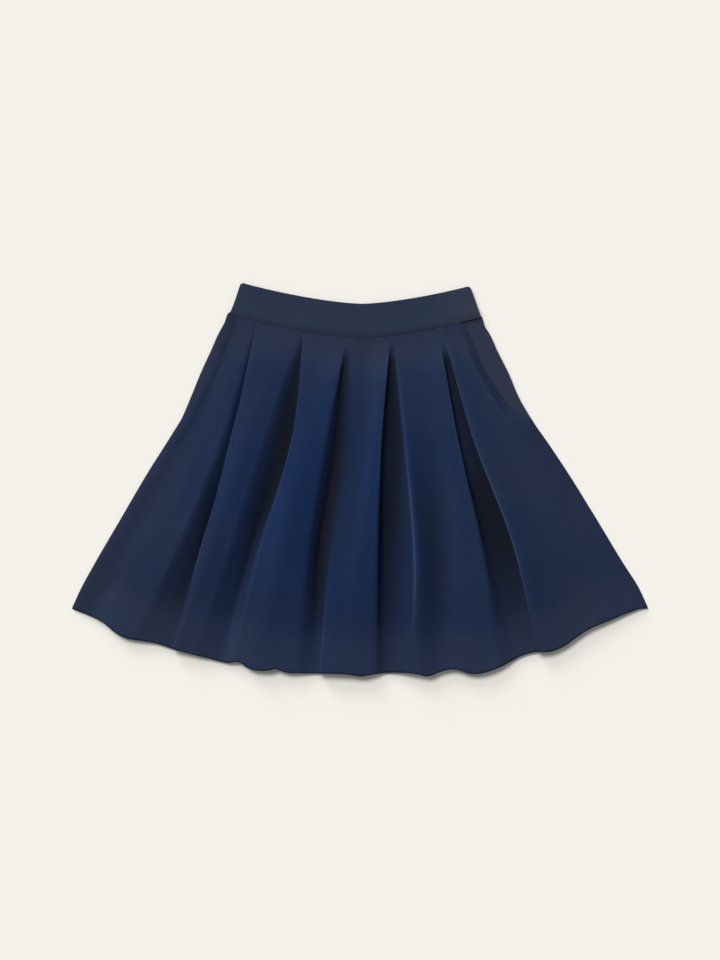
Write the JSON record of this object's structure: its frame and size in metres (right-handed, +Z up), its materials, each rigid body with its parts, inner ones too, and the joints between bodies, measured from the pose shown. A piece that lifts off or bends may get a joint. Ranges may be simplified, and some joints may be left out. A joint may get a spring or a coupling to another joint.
{
  "type": "pleated skater skirt",
  "caption": "Short flared skirt with a set-in waistband, unpressed front pleats and slant side pockets, laid flat with its front up.",
  "frame": {"origin": "centre of the laid skirt's box, on the surface it lies on", "axes": "+X across the skirt to the right as seen from above, +Y from the hem towards the waist, +Z up from the surface, out of the skirt's front"},
  "size_m": [0.7895, 0.5384, 0.0236],
  "materials": {
    "navy_cloth": "smooth matt crepe with a soft sheen",
    "waistband_cloth": "the same crepe over a stiffener",
    "zip_tape": "plain woven tape"
  },
  "bodies": {
    "root": {"skirt_front": "navy_cloth", "skirt_back_left": "navy_cloth", "skirt_back_right": "navy_cloth", "waistband_front": "waistband_cloth", "waistband_back_left": "waistband_cloth", "waistband_back_right": "waistband_cloth", "pocket_facing_left": "navy_cloth", "pocket_facing_right": "navy_cloth", "zip": "zip_tape"}
  },
  "joints": []
}
